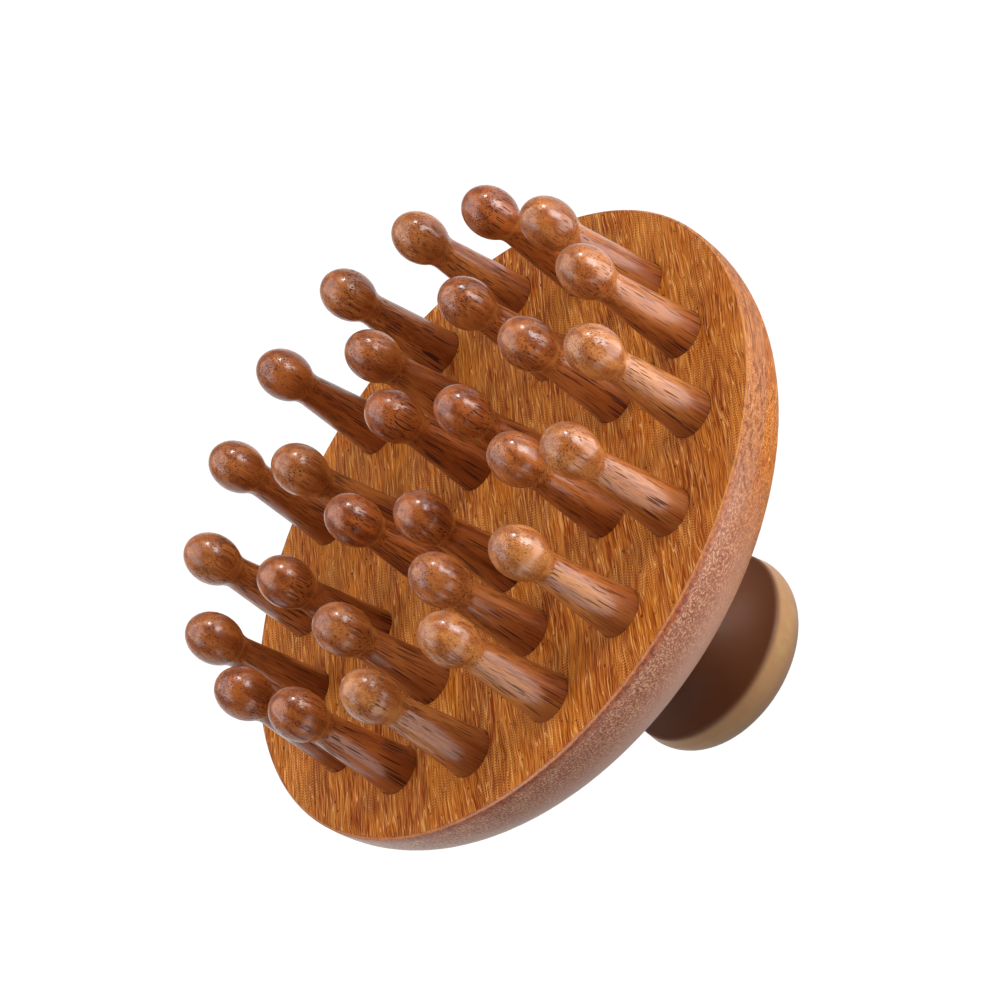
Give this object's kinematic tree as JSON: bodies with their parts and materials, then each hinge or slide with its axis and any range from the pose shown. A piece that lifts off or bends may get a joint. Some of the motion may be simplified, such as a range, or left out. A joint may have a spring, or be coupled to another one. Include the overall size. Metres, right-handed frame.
{
  "type": "scalp massager brush",
  "caption": "Turned wooden hand-held scalp massager: a domed disc with concentric rings of ball-headed pins on its flat face and a mushroom-shaped knob handle on its back.",
  "frame": {"origin": "centre of the knob's flat end face, on which the massager stands", "axes": "+Z along the turning axis from the knob to the pins; +X through a pin of every ring"},
  "size_m": [0.085, 0.085, 0.063],
  "materials": {
    "disc_wood": "oiled open-grained hardwood, satin",
    "pin_wood": "lacquered straight-grained hardwood, semi-gloss",
    "knob_wood": "fine-grained hardwood, satin"
  },
  "bodies": {
    "root": {"base_disc": "disc_wood", "handle_knob": "knob_wood", "pin_outer_01": "pin_wood", "pin_outer_02": "pin_wood", "pin_outer_03": "pin_wood", "pin_outer_04": "pin_wood", "pin_outer_05": "pin_wood", "pin_outer_06": "pin_wood", "pin_outer_07": "pin_wood", "pin_outer_08": "pin_wood", "pin_outer_09": "pin_wood", "pin_outer_10": "pin_wood", "pin_outer_11": "pin_wood", "pin_outer_12": "pin_wood", "pin_outer_13": "pin_wood", "pin_outer_14": "pin_wood", "pin_outer_15": "pin_wood", "pin_outer_16": "pin_wood", "pin_middle_01": "pin_wood", "pin_middle_02": "pin_wood", "pin_middle_03": "pin_wood", "pin_middle_04": "pin_wood", "pin_middle_05": "pin_wood", "pin_middle_06": "pin_wood", "pin_middle_07": "pin_wood", "pin_middle_08": "pin_wood", "pin_inner_01": "pin_wood", "pin_inner_02": "pin_wood", "pin_inner_03": "pin_wood", "pin_inner_04": "pin_wood"}
  },
  "joints": []
}
